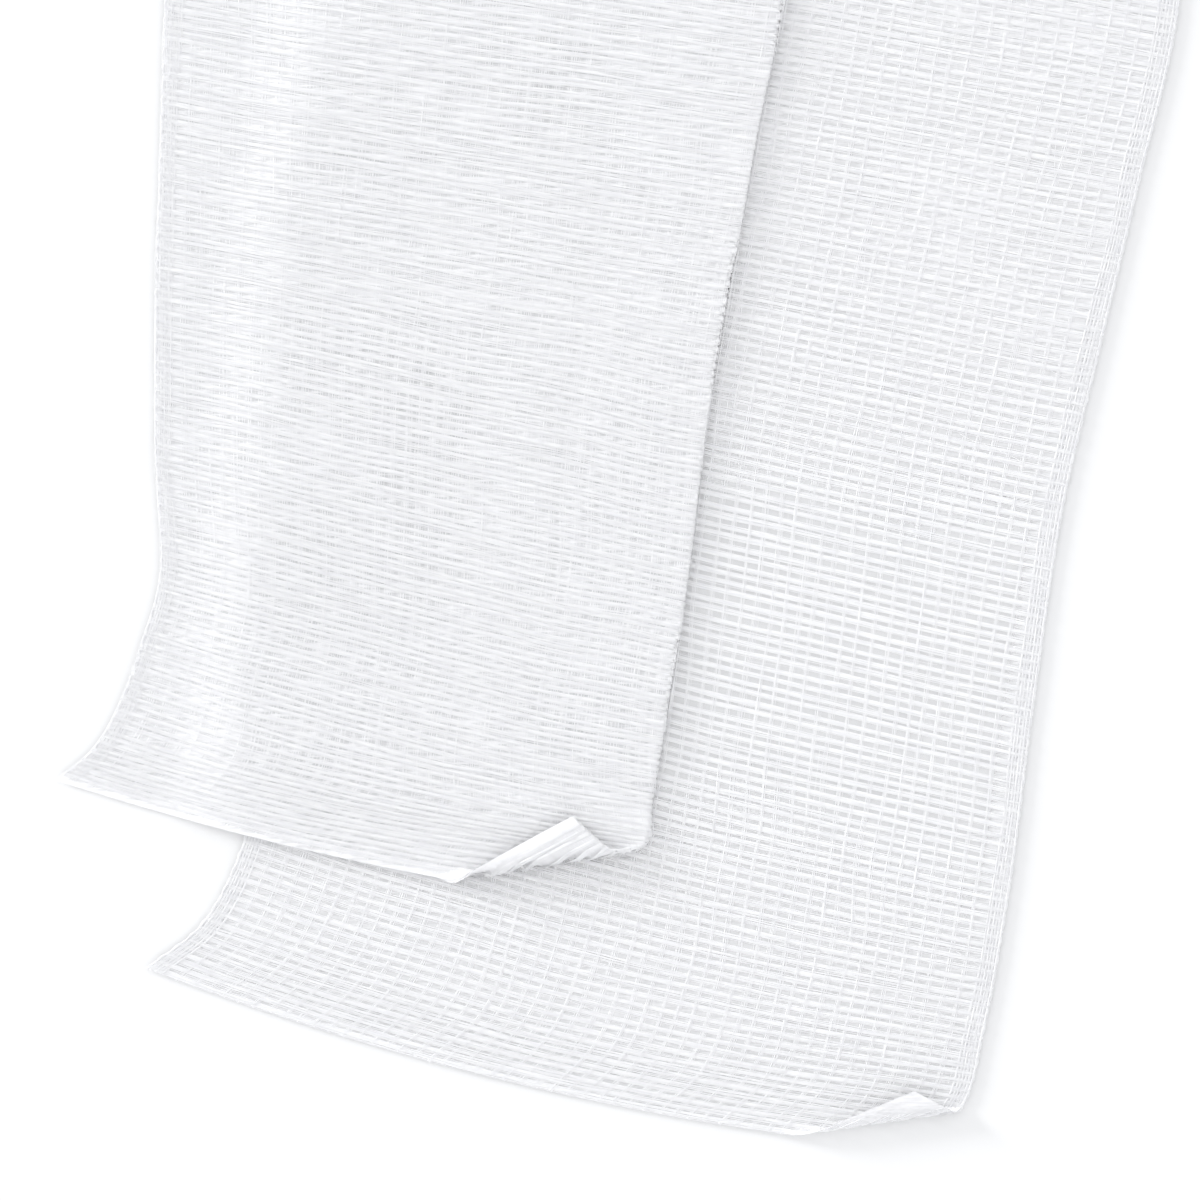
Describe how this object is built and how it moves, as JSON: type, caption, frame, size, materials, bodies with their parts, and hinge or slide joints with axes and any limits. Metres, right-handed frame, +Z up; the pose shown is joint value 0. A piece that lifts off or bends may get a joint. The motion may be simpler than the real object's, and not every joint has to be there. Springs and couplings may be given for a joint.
{
  "type": "doubled length of gauze bandage",
  "caption": "Length of white open-weave gauze bandage, doubled over and laid flat, with one margin turned under and a rolled corner at each cut end.",
  "frame": {"origin": "the middle of the box's underside, on the surface that the bandage lies on", "axes": "+Z up from that surface, +X across the bandage to its right, +Y along it from the cut ends to the fold"},
  "size_m": [0.1412, 0.2254, 0.0096],
  "materials": {
    "gauze": "bleached cotton gauze, plain open weave of soft unsized yarn, matt"
  },
  "bodies": {
    "root": {"gauze_strip": "gauze"}
  },
  "joints": []
}
